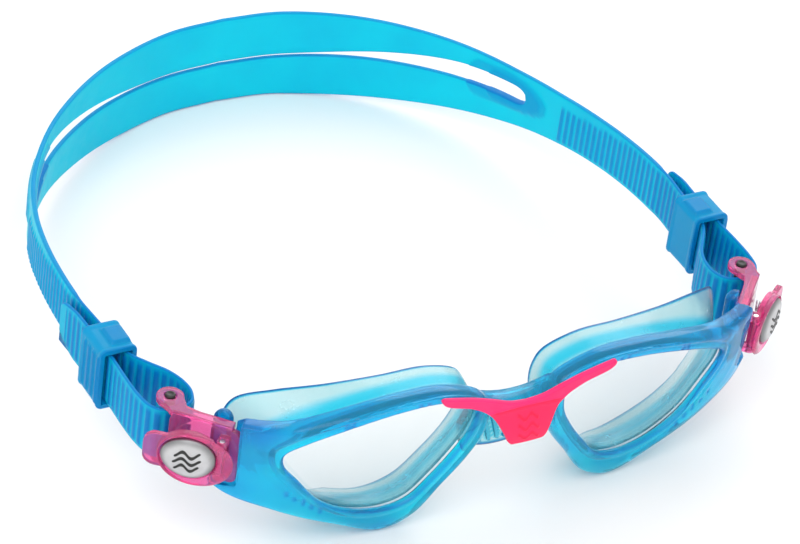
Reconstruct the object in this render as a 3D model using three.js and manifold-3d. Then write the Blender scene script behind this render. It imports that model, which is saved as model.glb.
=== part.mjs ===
// Swim goggles with a split silicone strap and a press-to-release buckle on each side.
// Millimetres, +Z up, +X to the wearer's left, +Y towards the back of the head.
// The goggles stand on a table on the two lower lobes of the frame and on the strap's lower edge.

import * as THREE from 'three';
import { mergeVertices } from 'three/addons/utils/BufferGeometryUtils.js';
import Module from 'manifold-3d';

const wasm = await Module();
wasm.setup();

// ---------------------------------------------------------------- driving dimensions

const GAP = 0.3;                      // clearance between neighbouring pieces

// Front of the goggles: a surface that is furthest forward at the nose and wraps back at the temples.
const NOSE_Y = -26.5;
const WRAP_NEAR = 0.0008;
const WRAP_FAR = 7e-11;
const LEAN = 0.08;
const LEAN_MID_Z = 20;

const FRAME_DEPTH = 5;                // front to back
const LIP_DEPTH = 1.9;                // front lip that the lens seats against
const REBATE = 1.8;                   // width of the seat behind the lip
const LENS_OVERLAP = 1.5;             // how far the lens reaches behind the lip
const LENS_THICKNESS = 1.6;
const LENS_FRONT = LIP_DEPTH + GAP;
const SKIRT_FRONT = LENS_FRONT + LENS_THICKNESS + GAP + 0.1;
const SKIRT_WALL = 1.2;
const SKIRT_NECK = 6.6;               // depth at which the skirt starts to flare
const SKIRT_LIP = 12.4;               // depth of the sealing lip at the nose
const SKIRT_TEMPLE_EXTRA = 1.8;       // and how much deeper it is at the temple

const BAR_TOP_Z = 32.2;               // frame bar over the nose
const BAR_HEIGHT = 4.6;
const BAR_HALF = 9.2;

const COVER_THICKNESS = 1.3;
const COVER_REACH = 2.9;              // how far the shield of the cover stands off the frame

const STRAP_THICKNESS = 1.3;
const STRAP_BACK_HEIGHT = 24.7;
const STRAP_TOP_Z = 30.8;             // top and bottom edge along the sides
const STRAP_BOTTOM_Z = 17.6;
const STRAP_SWAY = 8;                 // the soft strap lies a little to one side at the back
const RIB_PITCH = 2.1;
const RIB_HEIGHT = 0.45;
const SPLIT_END = 88;                 // distance from the back centre to the end of the split
const LADDER_START = 100;             // and to the ribbed part that the keeper grips
const LADDER_END = 142;

const BUCKLE_X = 67.8;                // front corner of the buckle's outer face
const BUCKLE_Y = -13.5;
const BUCKLE_ANGLE = THREE.MathUtils.degToRad(46);
const BUCKLE_LOW_Z = 18.2;
const BUCKLE_HIGH_Z = 31.1;
const PLATE_LOW_Z = BUCKLE_LOW_Z - 0.6;
const PLATE_TOP_Z = BUCKLE_HIGH_Z + 0.4;
const PLATE_THICKNESS = 1.6;
const PLATE_FRONT = -4.2;
const PLATE_REAR = 12.2;
const EAR_THICKNESS = 1.5;
const ARM_FRONT = -2.2;               // where the upper arm starts along the plate
const ARM_WIDTH = 2.6;
const LOW_ARM_FRONT = 3.8;            // the lower arm starts behind the frame's lower corner
const ROLLER_X = 74;
const ROLLER_RADIUS = 1.25;
const ROLLER_PLAY = 0.15;

const LEVER_ANGLE = THREE.MathUtils.degToRad(-8);
const HINGE_ALONG = -1;
const HINGE_OUT = 2.3;
const HINGE_RADIUS = 1.2;
const LEVER_PIN_RADIUS = 0.6;
const PIN_PLAY = 0.15;
const LEVER_MID_Z = 25.2;
const LEVER_BOTTOM = -0.6;            // underside of the lever, measured outwards from its hinge
const LEVER_TOP = 1;
const BADGE_ALONG = 6.9;
const BADGE_LENGTH = 12.4;
const BADGE_HEIGHT = 10.4;
const SPRING_ALONG = 9.6;

const KEEPER_INNER_X = 74.2;
const KEEPER_OUTER_X = 81;
const KEEPER_FRONT_Y = 18.8;
const KEEPER_LENGTH = 10.2;
const KEEPER_WALL = 1;

// ---------------------------------------------------------------- materials

const paint = (color, roughness, metalness = 0) =>
  new THREE.MeshStandardMaterial({ color, roughness, metalness });

const frameBlue = paint(0x0aa5dc, 0.25);
const skirtBlue = paint(0xa8dce4, 0.35);
const lensClear = paint(0xe2eeee, 0.05);
const coverPink = paint(0xff3773, 0.4);
const strapBlue = paint(0x00c8e4, 0.45);
const buckleRose = paint(0xe0509a, 0.2);
const rollerBlack = paint(0x161816, 0.35);
const badgeSilver = paint(0xc8c8ca, 0.35, 0.9);
const steel = paint(0xb9bdc2, 0.3, 1);

// ---------------------------------------------------------------- helpers

// Turns a geometry inside out.
function flipped(geometry) {
  const index = geometry.getIndex();
  for (let i = 0; i < index.count; i += 3) {
    const first = index.getX(i);
    index.setX(i, index.getX(i + 1));
    index.setX(i + 1, first);
  }
  return geometry;
}

// Keeps only the positions and shares the vertices that coincide.
function welded(geometry) {
  const bare = geometry.clone();
  bare.deleteAttribute('normal');
  bare.deleteAttribute('uv');
  return mergeVertices(bare, 1e-4);
}

function signedVolume(geometry) {
  const position = geometry.getAttribute('position');
  const index = geometry.getIndex();
  const corner = [new THREE.Vector3(), new THREE.Vector3(), new THREE.Vector3()];
  let sum = 0;
  for (let i = 0; i < index.count; i += 3) {
    corner.forEach((c, k) => c.fromBufferAttribute(position, index.getX(i + k)));
    sum += corner[0].dot(corner[1].cross(corner[2])) / 6;
  }
  return sum;
}

// Closed surface through rows of points. Each row is a closed loop. The last row joins the first
// in a ring, and otherwise the first and last rows are closed by caps.
function skin(rows, ring) {
  const perRow = rows[0].length;
  const index = [];
  const bands = ring ? rows.length : rows.length - 1;
  for (let i = 0; i < bands; i++) {
    const next = ((i + 1) % rows.length) * perRow;
    for (let j = 0; j < perRow; j++) {
      const k = (j + 1) % perRow;
      index.push(i * perRow + j, i * perRow + k, next + k);
      index.push(i * perRow + j, next + k, next + j);
    }
  }
  if (!ring) {
    const last = (rows.length - 1) * perRow;
    for (let j = 1; j < perRow - 1; j++) {
      index.push(0, j + 1, j);
      index.push(last, last + j, last + j + 1);
    }
  }
  const geometry = new THREE.BufferGeometry();
  geometry.setAttribute('position', new THREE.Float32BufferAttribute(
    rows.flat().flatMap((p) => [p.x, p.y, p.z]), 3));
  geometry.setIndex(index);
  return signedVolume(geometry) < 0 ? flipped(geometry) : geometry;
}

function solid(geometry) {
  const mesh = welded(geometry);
  return new wasm.Manifold(new wasm.Mesh({
    numProp: 3,
    vertProperties: new Float32Array(mesh.getAttribute('position').array),
    triVerts: new Uint32Array(mesh.getIndex().array),
  }));
}

function shapeOf(manifold) {
  const mesh = manifold.getMesh();
  const geometry = new THREE.BufferGeometry();
  geometry.setAttribute('position', new THREE.Float32BufferAttribute(mesh.vertProperties, 3));
  geometry.setIndex(new THREE.Uint32BufferAttribute(mesh.triVerts, 1));
  return geometry;
}

const joined = (...geometries) =>
  shapeOf(geometries.map(solid).reduce((sum, piece) => sum.add(piece)));

const cut = (geometry, ...tools) =>
  shapeOf(tools.map(solid).reduce((rest, tool) => rest.subtract(tool), solid(geometry)));

// The same shape for the other side of the head.
function mirrored(geometry) {
  return flipped(welded(geometry).applyMatrix4(new THREE.Matrix4().makeScale(-1, 1, 1)));
}

const sided = (geometry, side) => (side > 0 ? geometry : mirrored(geometry));

function box(x0, x1, y0, y1, z0, z1) {
  return new THREE.BoxGeometry(x1 - x0, y1 - y0, z1 - z0)
    .translate((x0 + x1) / 2, (y0 + y1) / 2, (z0 + z1) / 2);
}

// Upright cylinder between two heights.
function post(x, y, z0, z1, radius, sides = 20) {
  return new THREE.CylinderGeometry(radius, radius, z1 - z0, sides)
    .rotateX(Math.PI / 2)
    .translate(x, y, (z0 + z1) / 2);
}

// A shape drawn in X and Z, given thickness towards -Y from the plane y.
function upright(shape, y, thickness, curveSegments = 8) {
  return new THREE.ExtrudeGeometry(shape, { depth: thickness, bevelEnabled: false, curveSegments })
    .rotateX(Math.PI / 2)
    .translate(0, y, 0);
}

// A shape drawn in X and Y, given thickness upwards from z.
function flat(shape, z, thickness, curveSegments = 8) {
  return new THREE.ExtrudeGeometry(shape, { depth: thickness, bevelEnabled: false, curveSegments })
    .translate(0, 0, z);
}

const ellipse = (x, y, halfX, halfY) =>
  new THREE.Shape().absellipse(x, y, halfX, halfY, 0, Math.PI * 2);

function roundedRectangle(x0, x1, y0, y1, radius) {
  const shape = new THREE.Shape();
  shape.moveTo(x0 + radius, y0);
  shape.lineTo(x1 - radius, y0);
  shape.absarc(x1 - radius, y0 + radius, radius, -Math.PI / 2, 0);
  shape.lineTo(x1, y1 - radius);
  shape.absarc(x1 - radius, y1 - radius, radius, 0, Math.PI / 2);
  shape.lineTo(x0 + radius, y1);
  shape.absarc(x0 + radius, y1 - radius, radius, Math.PI / 2, Math.PI);
  shape.lineTo(x0, y0 + radius);
  shape.absarc(x0 + radius, y0 + radius, radius, Math.PI, Math.PI * 1.5);
  return shape;
}

// ---------------------------------------------------------------- front surface and eye outlines

function frontY(x, z) {
  return NOSE_Y + WRAP_NEAR * x ** 2 + WRAP_FAR * x ** 6 - LEAN * (z - LEAN_MID_Z);
}

const onFront = (x, z, depth) => new THREE.Vector3(x, frontY(x, z) + depth, z);

// Outlines of one eye as [x, z], all starting at the upper nose corner and running over the brow to
// the temple and back under the eye. Points with the same place in the lists face each other.
const OPENING = [
  [12.3, 33.2], [20, 36], [30, 35.9], [41, 33.8], [51.5, 30.3], [56, 27.4], [55.8, 24.2],
  [52, 19.2], [46, 12.2], [38.5, 8.2], [30, 6.9], [24.3, 8.5], [20, 13.3], [15.8, 19],
  [12.5, 25], [11.6, 30],
];
const FRAME_EDGE = [
  [9.5, 34.8], [19.5, 38.9], [30.5, 39.1], [42, 37.4], [55, 34.8], [69, 34.2], [70.8, 26],
  [69.3, 16.8], [57, 10.6], [42.4, 4.2], [30, -0.4], [22.3, 2.4], [16.2, 10.2], [11, 17.3],
  [7.8, 24], [7.6, 31],
];
const SKIRT_EDGE = [
  [11, 35], [19, 37.8], [30, 37.6], [42, 37.2], [54, 36.4], [61.5, 33.8], [63.6, 28],
  [61, 19], [53, 10.5], [41, 5.2], [30, 3], [22, 5.8], [16.5, 11.8], [11.8, 18.5],
  [9.2, 25], [9, 31],
];
const EYE_STEPS = 3 * OPENING.length;
const NOSE_STEPS = 12;

function outline(points) {
  const curve = new THREE.CatmullRomCurve3(
    points.map(([x, z]) => new THREE.Vector3(x, 0, z)), true, 'centripetal');
  return Array.from({ length: EYE_STEPS }, (_, i) => curve.getPoint(i / EYE_STEPS));
}

const opening = outline(OPENING);
const frameEdge = outline(FRAME_EDGE);
const skirtEdge = outline(SKIRT_EDGE);
const frameWidth = opening.map((p, i) => p.distanceTo(frameEdge[i]));
const outwards = opening.map((p, i) => frameEdge[i].clone().sub(p).normalize());

// The place in X and Z of station i at a distance out from the lens opening.
const eyePlace = (i, out) => opening[i].clone().addScaledVector(outwards[i], out);

// The same place on the front surface, moved back by a depth.
function eyePoint(i, out, depth) {
  const p = eyePlace(i, out);
  return onFront(p.x, p.z, depth);
}

// ---------------------------------------------------------------- frame

function frameEye() {
  const rows = opening.map((_, i) => {
    const width = frameWidth[i];
    return [
      eyePoint(i, 0, 0.7),
      eyePoint(i, 0.6, 0.1),
      eyePoint(i, width * 0.55, 0),
      eyePoint(i, width - 0.6, 0.7),
      eyePoint(i, width, 1.9),
      eyePoint(i, width, FRAME_DEPTH - 0.9),
      eyePoint(i, width - 0.5, FRAME_DEPTH),
      eyePoint(i, REBATE, FRAME_DEPTH),
      eyePoint(i, REBATE, LIP_DEPTH),
      eyePoint(i, 0, LIP_DEPTH),
    ];
  });
  return skin(rows, true);
}

function noseBar() {
  const rows = Array.from({ length: NOSE_STEPS + 1 }, (_, i) => {
    const x = BAR_HALF * (2 * i / NOSE_STEPS - 1);
    const top = BAR_TOP_Z + 1.8 * (x / BAR_HALF) ** 2;
    const low = top - BAR_HEIGHT;
    return [
      onFront(x, low, 1.4), onFront(x, low + 0.8, 0.3), onFront(x, top - 1, 0.3), onFront(x, top, 1.4),
      onFront(x, top, FRAME_DEPTH), onFront(x, top - 0.8, FRAME_DEPTH + 1),
      onFront(x, low + 0.8, FRAME_DEPTH + 0.2), onFront(x, low, FRAME_DEPTH - 0.8),
    ];
  });
  return skin(rows, false);
}

// Rounded knuckle at the top of the temple end.
function templeKnuckle() {
  const radius = 2.3;
  const dome = new THREE.SphereGeometry(radius, 16, 10);
  return joined(post(0, 0, -8, 0, radius, 16), dome).translate(66, -10.4, 31.8);
}

// Space kept free for a buckle, in the buckle's own frame.
function buckleSeat() {
  const far = 24;
  const above = 40;
  return joined(
    box(PLATE_FRONT - GAP, far, -far, PLATE_THICKNESS + GAP, PLATE_LOW_Z - GAP, above),
    box(ARM_FRONT - GAP, far, -far, ARM_WIDTH + GAP, BUCKLE_HIGH_Z - GAP, above),
    box(LOW_ARM_FRONT - GAP, far, -far, ARM_WIDTH + GAP, 5, BUCKLE_LOW_Z + GAP),
  ).rotateZ(BUCKLE_ANGLE).translate(BUCKLE_X, BUCKLE_Y, 0);
}

function frontFrame() {
  const half = cut(joined(frameEye(), templeKnuckle()), buckleSeat());
  const belowTable = box(-90, 90, -40, 10, -10, 0);
  return cut(joined(half, mirrored(half), noseBar()), belowTable);
}

// ---------------------------------------------------------------- lenses and skirt

function lens() {
  const back = LENS_FRONT + LENS_THICKNESS;
  const scales = [1, 0.62, 0.25];
  const centre = new THREE.Vector3(32, 0, 23);
  const loop = (scale, depth) => opening.map((_, i) => {
    const p = eyePlace(i, LENS_OVERLAP).sub(centre).multiplyScalar(scale).add(centre);
    return onFront(p.x, p.z, depth);
  });
  const front = scales.map((scale) => loop(scale, LENS_FRONT));
  const rear = scales.map((scale) => loop(scale, back));
  return skin([...front.reverse(), ...rear], false);
}

function skirtEye() {
  const rows = opening.map((_, i) => {
    const lip = skirtEdge[i];
    const lipDepth = SKIRT_LIP + SKIRT_TEMPLE_EXTRA * (lip.x / 60) ** 2;
    const neck = eyePlace(i, LENS_OVERLAP);
    const middle = lip.clone().lerp(neck, 0.5);
    const inward = eyePlace(i, 0.9).sub(lip).setLength(SKIRT_WALL * 0.7);
    const inner = LENS_OVERLAP - SKIRT_WALL;
    return [
      eyePoint(i, LENS_OVERLAP, SKIRT_FRONT),
      eyePoint(i, LENS_OVERLAP, SKIRT_NECK),
      onFront(middle.x, middle.z, (SKIRT_NECK + lipDepth) / 2 - 0.5),
      onFront(lip.x, lip.z, lipDepth),
      onFront(lip.x + inward.x * 0.6, lip.z + inward.z * 0.6, lipDepth + 0.5),
      onFront(lip.x + inward.x, lip.z + inward.z, lipDepth + 0.2),
      eyePoint(i, inner, SKIRT_NECK + 1),
      eyePoint(i, inner, SKIRT_FRONT),
    ];
  });
  return skin(rows, true);
}

// Soft arched web that joins the two eye cups over the nose.
function noseWeb() {
  const half = 11.3;
  const front = FRAME_DEPTH + 0.9;
  const back = front + 1.8;
  const rows = Array.from({ length: NOSE_STEPS + 1 }, (_, i) => {
    const x = half * (2 * i / NOSE_STEPS - 1);
    const arch = (x / half) ** 2;
    const low = 14.2 + 3 * arch;
    const top = 27 + 2 * arch;
    return [
      onFront(x, low, front), onFront(x, top, front), onFront(x, top, back), onFront(x, low, back),
    ];
  });
  return skin(rows, false);
}

function faceSkirt() {
  const cup = skirtEye();
  return joined(cup, mirrored(cup), noseWeb());
}

// ---------------------------------------------------------------- bridge cover

// Shield over the nose with a thin arm along each brow, as half an outline in X and Z.
const COVER_UPPER = [[0, 33.2], [4, 33.7], [9, 35.6], [14, 37.3], [20.3, 38.6]];
const COVER_LOWER = [
  [20.7, 35.1], [14.4, 33.6], [10.5, 31.7], [7.8, 29.4], [5.8, 26.2], [4.1, 23.3],
];

function bridgeCover() {
  const shape = new THREE.Shape();
  const spline = (points) => shape.splineThru(points.map(([x, z]) => new THREE.Vector2(x, z)));
  shape.moveTo(...COVER_UPPER[0]);
  spline(COVER_UPPER.slice(1));
  shape.quadraticCurveTo(23, 37.4, ...COVER_LOWER[0]);
  spline(COVER_LOWER.slice(1));
  shape.quadraticCurveTo(0, 22.6, -COVER_LOWER.at(-1)[0], COVER_LOWER.at(-1)[1]);
  spline(COVER_LOWER.slice(0, -1).reverse().map(([x, z]) => [-x, z]));
  shape.quadraticCurveTo(-23, 37.4, -COVER_UPPER.at(-1)[0], COVER_UPPER.at(-1)[1]);
  spline(COVER_UPPER.slice(0, -1).reverse().map(([x, z]) => [-x, z]));
  const bevel = 0.3;
  const geometry = welded(new THREE.ExtrudeGeometry(shape, {
    depth: COVER_THICKNESS - 2 * bevel, bevelThickness: bevel, bevelSize: bevel, bevelOffset: -bevel,
    bevelSegments: 1, curveSegments: 4,
  }));
  const position = geometry.getAttribute('position');
  for (let i = 0; i < position.count; i++) {
    const x = position.getX(i);
    const z = position.getY(i);
    const standOff = GAP + 0.1 + COVER_REACH * THREE.MathUtils.smoothstep(33 - z, 0, 9);
    const p = onFront(x, z, -standOff - bevel - position.getZ(i));
    position.setXYZ(i, p.x, p.y, p.z);
  }
  return signedVolume(geometry) < 0 ? flipped(geometry) : geometry;
}

// ---------------------------------------------------------------- strap

// Half of the strap seen from above: from the back centre round to the side, through the keeper,
// round the buckle's roller and back through the keeper to its free end.
const STRAP_ROUTE = [
  [0, 141.8], [15, 140.4], [30, 134.8], [42.6, 126.8], [56.4, 113.2], [67, 96], [72.6, 80],
  [75.5, 66], [77.1, 52], [77.5, 40], [76.9, 32], [76.2, 24], [75.1, 18.5], [72.3, 14],
  [69.7, 10.3], [68.1, 6.2], [67.8, 2.4], [69.1, -0.9], [71.6, -2.3], [74.2, -2.4],
  [76.9, -1.6], [78.6, 0.7], [79.3, 4.2], [79.5, 10], [79.3, 18], [79.5, 26], [79.9, 34],
  [80.4, 43],
];
const strapCurve = new THREE.CatmullRomCurve3(
  STRAP_ROUTE.map(([x, y]) => new THREE.Vector3(x, y, 0)), false, 'centripetal');
strapCurve.arcLengthDivisions = 800;
const STRAP_HALF_LENGTH = strapCurve.getLength();

const { smoothstep } = THREE.MathUtils;
const tailTaper = (s) => smoothstep(Math.abs(s), STRAP_HALF_LENGTH - 8, STRAP_HALF_LENGTH);
const strapTop = (s) => STRAP_BACK_HEIGHT - 1.2 * tailTaper(s)
  + (STRAP_TOP_Z - STRAP_BACK_HEIGHT) * smoothstep(Math.abs(s), 80, 148);
const strapBottom = (s) => STRAP_BOTTOM_Z * smoothstep(Math.abs(s), 20, 148) + 2.2 * tailTaper(s);
const splitMid = (s) => 11.7 + 6.7 * smoothstep(Math.abs(s), 10, SPLIT_END);

function splitHalf(s) {
  const end = 7;
  const along = Math.max(0, Math.abs(s) - (SPLIT_END - end)) / end;
  const widest = 0.35 + 2 * smoothstep(Math.abs(s), 20, 72);
  return widest * Math.sqrt(Math.max(0, 1 - along ** 2));
}

// Point of the strap at a signed distance from the back centre, out from its middle and at a height.
function strapPoint(s, out, z) {
  const u = Math.min(Math.abs(s) / STRAP_HALF_LENGTH, 1);
  const side = s < 0 ? -1 : 1;
  const p = strapCurve.getPointAt(u);
  const t = strapCurve.getTangentAt(u);
  const x = side * (p.x - t.y * out);
  const y = p.y + t.x * out;
  return new THREE.Vector3(x + STRAP_SWAY * (Math.max(0, y - 40) / 100) ** 1.5, y, z);
}

// Closed band along the strap through the given distances.
function band(distances, low, high, inner, outer) {
  return skin(distances.map((s) => [
    strapPoint(s, outer(s), high(s)), strapPoint(s, outer(s), low(s)),
    strapPoint(s, inner(s), low(s)), strapPoint(s, inner(s), high(s)),
  ]), false);
}

function strapStations() {
  const half = [0];
  const stepTo = (until, step) => {
    while (half.at(-1) + step < until) half.push(half.at(-1) + step);
    half.push(until);
  };
  stepTo(LADDER_START, 4);
  const ribs = Math.floor((LADDER_END - LADDER_START) / RIB_PITCH);
  for (let i = 0; i < ribs; i++) {
    const start = LADDER_START + i * RIB_PITCH;
    half.push(start + 0.25, start + 0.4, start + 1.3, start + 1.45);
  }
  stepTo(168, 4);
  stepTo(STRAP_HALF_LENGTH - 38, 2);
  stepTo(STRAP_HALF_LENGTH, 4);
  return [...half.slice(1).reverse().map((s) => -s), ...half];
}

function ribHeight(s) {
  const along = Math.abs(s) - LADDER_START;
  if (along < 0 || along > LADDER_END - LADDER_START - 1) {
    return 0;
  }
  const phase = along % RIB_PITCH;
  return phase > 0.3 && phase < 1.4 ? RIB_HEIGHT : 0;
}

// Thickened pad round one end of the split.
function splitPad(side, length, halfHeight, thickness) {
  const end = SPLIT_END + 7 - (26 - length) * 0.25;
  const start = end - length;
  const distances = Array.from({ length: 10 }, (_, i) => side * (start + length * i / 9.2));
  const reach = (s) => {
    const along = Math.max(0, (Math.abs(s) - start - length * 0.45) / (length * 0.56));
    const rounded = Math.sqrt(Math.max(0.03, 1 - along ** 2));
    return halfHeight * rounded * smoothstep(Math.abs(s), start - 4, start + 6);
  };
  return band(distances, (s) => splitMid(s) - reach(s), (s) => splitMid(s) + reach(s),
    () => -thickness / 2, () => thickness / 2);
}

function headStrap() {
  const half = STRAP_THICKNESS / 2;
  const whole = band(strapStations(), strapBottom, strapTop, () => -half, (s) => half + ribHeight(s));
  const pads = [-1, 1].flatMap((side) => [splitPad(side, 26, 4.6, 1.9), splitPad(side, 18, 4, 2.5)]);
  const reach = SPLIT_END - 0.05;
  const distances = Array.from({ length: 41 }, (_, i) => reach * Math.sin(Math.PI * (i / 40 - 0.5)));
  const split = band(distances, (s) => splitMid(s) - splitHalf(s), (s) => splitMid(s) + splitHalf(s),
    () => -4, () => 4);
  return cut(joined(whole, ...pads), split);
}

// Sleeve that holds the strap's free end against the strap.
function keeper() {
  const low = STRAP_BOTTOM_Z - 0.4;
  const high = STRAP_TOP_Z + 0.4;
  const back = KEEPER_FRONT_Y + KEEPER_LENGTH;
  const inner = KEEPER_INNER_X - KEEPER_WALL;
  const outer = KEEPER_OUTER_X + KEEPER_WALL;
  const top = high + KEEPER_WALL;
  const profile = roundedRectangle(inner, outer, low - KEEPER_WALL, top, 1);
  profile.holes.push(roundedRectangle(KEEPER_INNER_X, KEEPER_OUTER_X, low, high, 0.3));
  const sleeve = upright(profile, back, KEEPER_LENGTH, 3);
  const ridges = [0, 1, 2].map((i) => {
    const front = KEEPER_FRONT_Y + 1 + i * 2.4;
    return box(outer - 0.2, outer + 0.5 - i * 0.1, front, front + 1.3, low + 1.2, high - 1.2);
  });
  const hump = box(inner + 0.2, inner + 4.6, back - 8.4, back - 2, top - 0.2, top + 0.8);
  return joined(sleeve, ...ridges, hump);
}

// ---------------------------------------------------------------- buckle
// In the buckle's own frame X runs back along its plate and -Y points away from the head.

const rollerPlace = new THREE.Vector3(ROLLER_X - BUCKLE_X, -BUCKLE_Y, 0)
  .applyAxisAngle(new THREE.Vector3(0, 0, 1), -BUCKLE_ANGLE);
const EAR_HIGH_Z = BUCKLE_HIGH_Z + EAR_THICKNESS;
const EAR_LOW_Z = STRAP_BOTTOM_Z - GAP - EAR_THICKNESS;

// Horizontal arm that reaches from the plate to the roller.
function buckleArm(front, z) {
  const earRadius = 3.1;
  const { x, y } = rollerPlace;
  const shape = new THREE.Shape();
  shape.moveTo(front, 0);
  shape.lineTo(PLATE_REAR, 0);
  shape.lineTo(PLATE_REAR + 0.6, y - 4.2);
  shape.lineTo(x + 1.8, y - 2.6);
  shape.absarc(x, y, earRadius, -0.9, 2.9);
  shape.lineTo(x - 4.6, y - 1.8);
  shape.lineTo(PLATE_REAR - 6, ARM_WIDTH);
  shape.lineTo(front, ARM_WIDTH);
  return flat(shape, z, EAR_THICKNESS, 10);
}

// Lug on the plate's outer face that holds one end of the lever's pin.
function hingeLug(z) {
  const height = 1.5;
  return joined(
    post(HINGE_ALONG, -HINGE_OUT, z, z + height, HINGE_RADIUS, 16),
    box(HINGE_ALONG - HINGE_RADIUS, HINGE_ALONG + HINGE_RADIUS, -HINGE_OUT, 0.3, z, z + height),
  );
}

function buckleBody() {
  const plate = upright(roundedRectangle(PLATE_FRONT, PLATE_REAR, PLATE_LOW_Z, PLATE_TOP_Z, 1.6),
    PLATE_THICKNESS, PLATE_THICKNESS, 4);
  const rim = upright(ellipse(3.4, 24.6, 7.8, 7.2), 0.4, 0.6, 12);
  // Fills the step between the plate's lower edge and the lower arm.
  const web = box(LOW_ARM_FRONT, PLATE_REAR, 0, PLATE_THICKNESS, EAR_LOW_Z + 0.2, BUCKLE_LOW_Z + 1);
  const arms = [buckleArm(ARM_FRONT, BUCKLE_HIGH_Z), buckleArm(LOW_ARM_FRONT, EAR_LOW_Z)];
  const { x, y } = rollerPlace;
  return cut(
    joined(plate, rim, web, ...arms, hingeLug(20), hingeLug(28.9)),
    post(x, y, 0, 50, ROLLER_RADIUS + ROLLER_PLAY),
    post(HINGE_ALONG, -HINGE_OUT, 19, 32, LEVER_PIN_RADIUS + PIN_PLAY, 16),
  );
}

function strapRoller() {
  const { x, y } = rollerPlace;
  return post(x, y, EAR_LOW_Z - 0.3, EAR_HIGH_Z + 0.4, ROLLER_RADIUS);
}

// The lever is drawn from its hinge, with X along it and -Y away from the head.
function releaseLever() {
  const base = upright(ellipse(BADGE_ALONG, LEVER_MID_Z, BADGE_LENGTH / 2 + 0.9, BADGE_HEIGHT / 2 + 0.8),
    -LEVER_BOTTOM, LEVER_TOP - LEVER_BOTTOM, 14);
  const tab = upright(roundedRectangle(8, 17.2, LEVER_MID_Z - 4.5, LEVER_MID_Z + 4.3, 2.8), 0.3, 1.3, 6);
  const barrel = post(0, 0, 21.8, 28.6, HINGE_RADIUS, 16);
  const lugRoom = [[19, 21.8], [28.6, 33]].map(([low, high]) =>
    post(0, 0, low, high, HINGE_RADIUS + GAP, 16));
  const bore = post(0, 0, 15, 35, LEVER_PIN_RADIUS + PIN_PLAY, 16);
  return cut(joined(base, tab, barrel), ...lugRoom, bore);
}

function leverBadge() {
  const profile = [[0, 0], [1, 0], [1, 0.5], [0.95, 0.95], [0.8, 1.4], [0.5, 1.8], [0, 1.95]]
    .map(([r, h]) => new THREE.Vector2(r, h));
  return new THREE.LatheGeometry(profile, 32)
    .scale(BADGE_LENGTH / 2, 1, BADGE_HEIGHT / 2)
    .rotateX(Math.PI)
    .translate(BADGE_ALONG, -LEVER_TOP - GAP, LEVER_MID_Z);
}

const leverPin = () => post(0, 0, 20.2, 30.2, LEVER_PIN_RADIUS, 12);

// Compression spring between the plate and the lever's tab.
function leverSpring() {
  const turns = 2.75;
  const radius = 1.25;
  const wire = 0.2;
  const start = 0.2 + GAP + wire;
  const length = 2;
  class Helix extends THREE.Curve {
    getPoint(u) {
      const angle = turns * 2 * Math.PI * u;
      const along = SPRING_ALONG + radius * Math.cos(angle);
      return new THREE.Vector3(along, -start - length * u, LEVER_MID_Z + radius * Math.sin(angle));
    }
  }
  const section = ellipse(0, 0, wire, wire);
  return new THREE.ExtrudeGeometry(section, {
    steps: 36, extrudePath: new Helix(), bevelEnabled: false, curveSegments: 3,
  });
}

// ---------------------------------------------------------------- assembly

const goggles = new THREE.Group();

function add(group, name, geometry, material) {
  const mesh = new THREE.Mesh(welded(geometry), material);
  mesh.name = name;
  group.add(mesh);
  return mesh;
}

function addSide(side, label) {
  add(goggles, `lens_${label}`, sided(lens(), side), lensClear);
  add(goggles, `keeper_${label}`, sided(keeper(), side), strapBlue);

  const buckle = new THREE.Group();
  buckle.position.set(side * BUCKLE_X, BUCKLE_Y, 0);
  buckle.rotation.z = side * BUCKLE_ANGLE;
  add(buckle, `buckle_body_${label}`, sided(buckleBody(), side), buckleRose);
  add(buckle, `strap_roller_${label}`, sided(strapRoller(), side), rollerBlack);
  add(buckle, `lever_spring_${label}`, sided(leverSpring(), side), steel);

  const lever = new THREE.Group();
  lever.position.set(side * HINGE_ALONG, -HINGE_OUT, 0);
  lever.rotation.z = side * LEVER_ANGLE;
  add(lever, `release_lever_${label}`, sided(releaseLever(), side), buckleRose);
  add(lever, `lever_badge_${label}`, sided(leverBadge(), side), badgeSilver);
  add(lever, `lever_pin_${label}`, sided(leverPin(), side), steel);
  buckle.add(lever);
  goggles.add(buckle);
}

add(goggles, 'front_frame', frontFrame(), frameBlue);
add(goggles, 'face_skirt', faceSkirt(), skirtBlue);
add(goggles, 'bridge_cover', bridgeCover(), coverPink);
add(goggles, 'head_strap', headStrap(), strapBlue);
addSide(1, 'left');
addSide(-1, 'right');

// The origin is on the table under the middle of the goggles.
goggles.updateMatrixWorld(true);
const extent = new THREE.Box3().setFromObject(goggles, true);
goggles.position.set(0, -(extent.min.y + extent.max.y) / 2, 0);

export default goggles;
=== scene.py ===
import math

import bmesh
import bpy
import numpy as np
from mathutils import Matrix, Vector


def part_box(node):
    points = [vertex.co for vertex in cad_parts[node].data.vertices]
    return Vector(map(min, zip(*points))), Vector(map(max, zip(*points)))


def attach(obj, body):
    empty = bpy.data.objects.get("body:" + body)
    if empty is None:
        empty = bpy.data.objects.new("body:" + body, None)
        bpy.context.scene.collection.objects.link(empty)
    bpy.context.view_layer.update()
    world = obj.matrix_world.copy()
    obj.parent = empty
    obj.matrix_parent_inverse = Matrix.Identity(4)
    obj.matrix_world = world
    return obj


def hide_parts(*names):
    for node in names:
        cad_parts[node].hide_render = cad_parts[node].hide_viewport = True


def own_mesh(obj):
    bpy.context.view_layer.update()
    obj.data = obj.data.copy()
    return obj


# Swim goggles. Points are in millimetres, with +X to the wearer's left, +Y towards the back of the
# head measured from the strap rollers, and +Z up from the table.

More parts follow.
